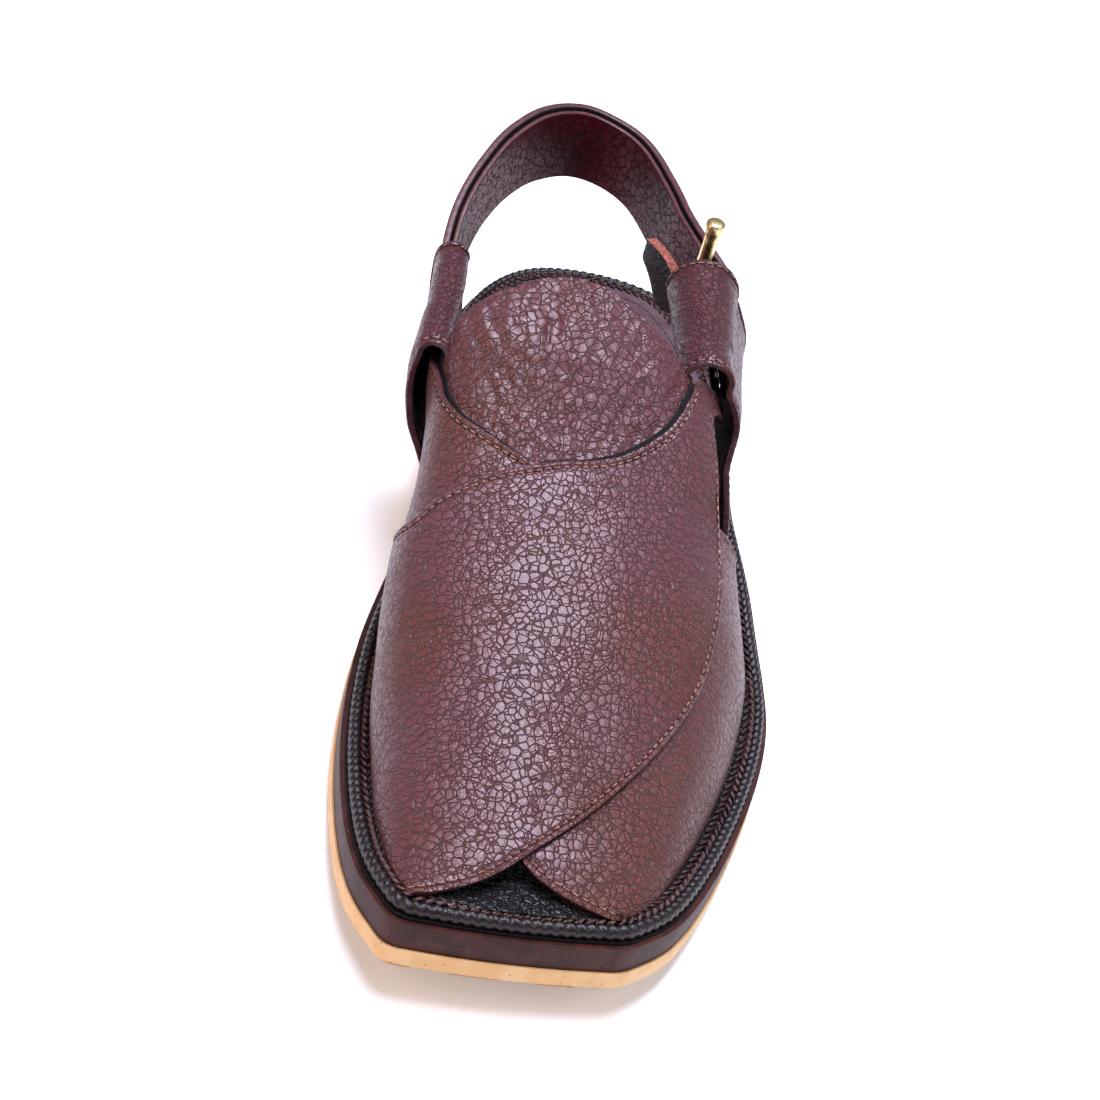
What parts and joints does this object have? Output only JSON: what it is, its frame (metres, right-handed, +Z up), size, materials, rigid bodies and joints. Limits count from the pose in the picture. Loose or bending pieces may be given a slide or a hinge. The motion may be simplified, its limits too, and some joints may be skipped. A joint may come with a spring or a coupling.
{
  "type": "peshawari sandal",
  "caption": "Left leather sandal with crossed vamp straps, folded side bands, a buckled heel strap and a square-toed layered sole.",
  "frame": {"origin": "middle of the whole box, on the floor under the sole", "axes": "+Z up from the floor, +Y from the toe to the heel, +X towards the outer side of the left foot"},
  "size_m": [0.1126, 0.2882, 0.097],
  "materials": {
    "tread_rubber": "matt",
    "brown_board": "satin",
    "footbed_leather": "satin",
    "rand_leather": "gloss",
    "upper_leather": "satin",
    "strap_leather": "satin",
    "buckle_brass": "polished"
  },
  "bodies": {
    "root": {"outsole": "tread_rubber", "midsole": "brown_board", "insole": "footbed_leather", "rand": "rand_leather", "upper": "upper_leather", "tongue": "upper_leather", "side_band_medial": "upper_leather", "side_band_lateral": "upper_leather", "heel_strap": "upper_leather", "strap_tail": "strap_leather", "buckle": "buckle_brass"}
  },
  "joints": []
}
